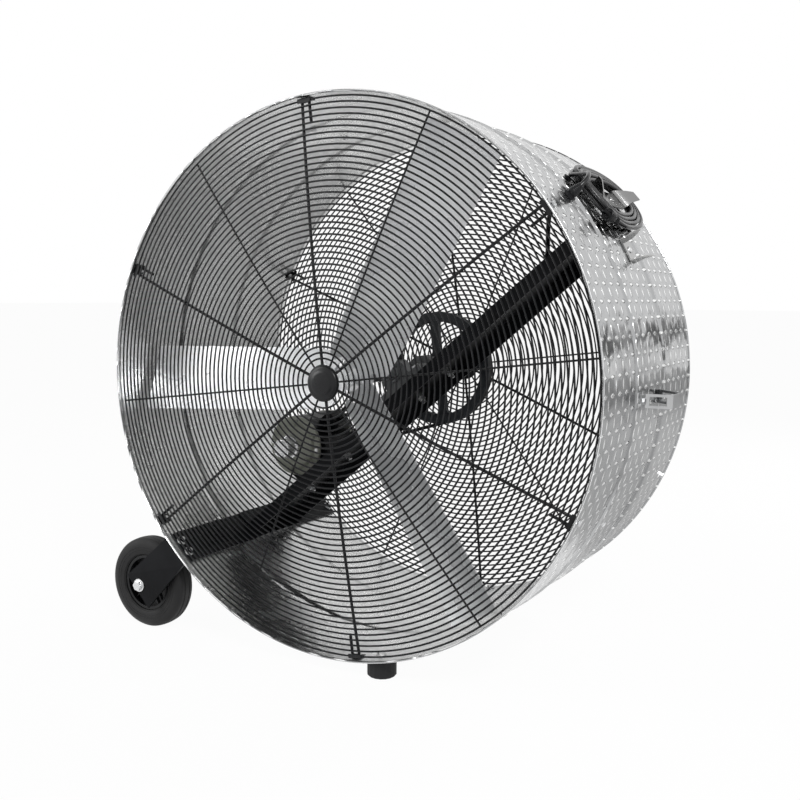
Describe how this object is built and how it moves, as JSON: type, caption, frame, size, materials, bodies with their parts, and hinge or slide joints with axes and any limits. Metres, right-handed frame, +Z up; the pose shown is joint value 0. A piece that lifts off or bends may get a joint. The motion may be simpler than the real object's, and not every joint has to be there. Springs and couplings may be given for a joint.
{
  "type": "drum fan",
  "caption": "Portable belt-driven drum fan: tread-plate drum with wire guards at both ends, bladed rotor on a diagonal channel, motor, wheels, feet, carry handle and stored cord.",
  "frame": {"origin": "on the floor, under the middle of the fan without its cord", "axes": "+X from the wheels to the carry handle, +Y along the drum's axis from the bladed front to the rear, +Z up"},
  "size_m": [1.2048, 0.6524, 1.1368],
  "materials": {
    "tread_plate": "bright embossed tread plate with diagonal lozenges",
    "satin_aluminium": "satin mill finish",
    "black_paint": "satin black paint",
    "black_wire": "black coated wire",
    "grey_casting": "dark grey painted iron",
    "zinc_steel": "bright zinc plate",
    "bright_steel": "ground bright steel",
    "bell_enamel": "olive grey enamel",
    "black_rubber": "matt moulded rubber",
    "black_plastic": "matt moulded plastic",
    "cord_jacket": "satin cord jacket"
  },
  "bodies": {
    "frame": {"drum_shell": "tread_plate", "front_guard": "black_wire", "rear_guard": "black_wire", "front_cap": "black_plastic", "front_clip_1": "satin_aluminium", "front_clip_2": "satin_aluminium", "front_clip_3": "satin_aluminium", "front_clip_4": "satin_aluminium", "front_clip_5": "satin_aluminium", "front_clip_6": "satin_aluminium", "rear_clip_1": "satin_aluminium", "rear_clip_2": "satin_aluminium", "rear_clip_3": "satin_aluminium", "rear_clip_4": "satin_aluminium", "rear_clip_5": "satin_aluminium", "rear_clip_6": "satin_aluminium", "wheel_strap": "black_paint", "bearing_channel": "black_paint", "front_bearing": "grey_casting", "rear_bearing": "grey_casting", "bearing_bolt_1": "zinc_steel", "bearing_bolt_2": "zinc_steel", "bearing_bolt_3": "zinc_steel", "bearing_bolt_4": "zinc_steel", "motor_bolt_1": "zinc_steel", "motor_bolt_2": "zinc_steel", "motor_housing": "black_paint", "terminal_box_cover": "black_paint", "motor_front_bell": "bell_enamel", "motor_rear_bell": "bell_enamel", "motor_base": "black_paint", "v_belt": "black_rubber", "front_wheel_bracket": "black_paint", "rear_wheel_bracket": "black_paint", "front_axle_bolt": "zinc_steel", "rear_axle_bolt": "zinc_steel", "front_foot": "black_rubber", "rear_foot": "black_rubber", "front_foot_bolt": "zinc_steel", "rear_foot_bolt": "zinc_steel", "carry_handle": "satin_aluminium", "long_cord_cleat": "grey_casting", "short_cord_cleat": "grey_casting", "cord_gland": "black_plastic", "cord_lead": "cord_jacket", "cord_winding": "cord_jacket", "plug": "black_plastic", "motor_lead": "cord_jacket"},
    "rotor": {"fan_shaft": "bright_steel", "fan_hub": "black_paint", "blade_1": "satin_aluminium", "blade_2": "satin_aluminium", "blade_3": "satin_aluminium", "fan_pulley": "grey_casting"},
    "motor_rotor": {"motor_shaft": "bright_steel", "motor_pulley": "grey_casting"},
    "front_wheel": {"front_tyre": "black_rubber", "front_wheel_hub": "black_plastic"},
    "rear_wheel": {"rear_tyre": "black_rubber", "rear_wheel_hub": "black_plastic"}
  },
  "joints": [
    {"name": "rotor_spin", "type": "hinge", "parent": "frame", "child": "rotor", "pos_m": [0, 0, 0.58], "axis": [0, 1, 0], "continuous": true},
    {"name": "motor_spin", "type": "hinge", "parent": "frame", "child": "motor_rotor", "pos_m": [-0.27761, 0, 0.39745], "axis": [0, 1, 0], "continuous": true},
    {"name": "front_wheel_spin", "type": "hinge", "parent": "frame", "child": "front_wheel", "pos_m": [-0.50043, -0.261, 0.102], "axis": [0, 1, 0], "continuous": true},
    {"name": "rear_wheel_spin", "type": "hinge", "parent": "frame", "child": "rear_wheel", "pos_m": [-0.50043, 0.261, 0.102], "axis": [0, 1, 0], "continuous": true}
  ],
  "couplings": [
    {"joint": "motor_spin", "follows": "rotor_spin", "ratio": 3.8788}
  ]
}
